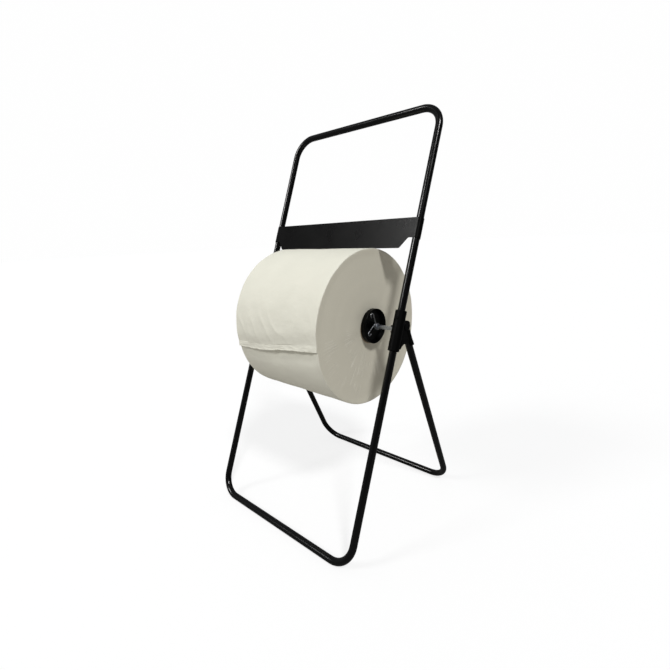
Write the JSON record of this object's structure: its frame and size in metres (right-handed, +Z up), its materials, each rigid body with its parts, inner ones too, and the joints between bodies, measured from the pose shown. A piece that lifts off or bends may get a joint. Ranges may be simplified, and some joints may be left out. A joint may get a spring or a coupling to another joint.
{
  "type": "paper towel holder",
  "caption": "Free-standing tubular floor stand for a wide paper towel roll, with a spindle, core hubs, a tear plate across the frame and a folding rear leg.",
  "frame": {"origin": "middle of the footprint on the floor, at the bottom centre of the bounding box", "axes": "+Z up, -Y towards the front floor bar, +X to the right seen from the front, along the spindle"},
  "size_m": [0.468, 0.4342, 0.9414],
  "materials": {
    "frame_paint": "gloss powder coat",
    "plate_paint": "satin powder coat",
    "screw_black": "black oxide",
    "bracket_plastic": "satin moulding",
    "pin_steel": "blackened",
    "plug_plastic": "satin",
    "rod_plated": "bright zinc plate",
    "core_board": "plain",
    "towel_paper": "soft",
    "hub_plastic": "satin moulding",
    "clip_wire": "zinc plated spring wire"
  },
  "bodies": {
    "frame": {"upper_frame": "frame_paint", "lower_frame": "frame_paint", "tear_plate": "plate_paint", "plate_screw_left": "screw_black", "plate_screw_right": "screw_black", "bracket_left": "bracket_plastic", "bracket_right": "bracket_plastic", "bracket_screw_upper_left": "screw_black", "bracket_screw_upper_right": "screw_black", "bracket_screw_lower_left": "screw_black", "bracket_screw_lower_right": "screw_black", "pivot_pin_left": "pin_steel", "pivot_pin_right": "pin_steel"},
    "rear_leg": {"rear_leg": "frame_paint", "leg_plug_left": "plug_plastic", "leg_plug_right": "plug_plastic"},
    "spindle": {"spindle_rod": "rod_plated"},
    "roll": {"roll_core": "core_board", "paper_roll": "towel_paper"},
    "hub_left": {"hub_left": "hub_plastic"},
    "hub_right": {"hub_right": "hub_plastic"},
    "clip_left": {"clip_left": "clip_wire"},
    "clip_right": {"clip_right": "clip_wire"}
  },
  "joints": [
    {"name": "leg_fold", "type": "hinge", "parent": "frame", "child": "rear_leg", "pos_m": [0, -0.00261, 0.47963], "axis": [-1, 0, 0], "range_deg": [0, 45.5]},
    {"name": "spindle_lift", "type": "slide", "parent": "frame", "child": "spindle", "axis": [0, -0.9848, 0.1736], "range_m": [0, 0.03]},
    {"name": "roll_spin", "type": "hinge", "parent": "spindle", "child": "roll", "pos_m": [0, -0.00501, 0.46494], "axis": [1, 0, 0], "continuous": true},
    {"name": "clip_left_slide", "type": "slide", "parent": "spindle", "child": "clip_left", "axis": [-1, 0, 0], "range_m": [0, 0.028]},
    {"name": "clip_right_slide", "type": "slide", "parent": "spindle", "child": "clip_right", "axis": [1, 0, 0], "range_m": [0, 0.028]},
    {"name": "hub_left_slide", "type": "slide", "parent": "spindle", "child": "hub_left", "axis": [-1, 0, 0], "range_m": [0, 0.028]},
    {"name": "hub_right_slide", "type": "slide", "parent": "spindle", "child": "hub_right", "axis": [1, 0, 0], "range_m": [0, 0.028]}
  ],
  "couplings": [
    {"joint": "clip_left_slide", "follows": "hub_left_slide", "ratio": 1},
    {"joint": "clip_right_slide", "follows": "hub_right_slide", "ratio": 1}
  ]
}
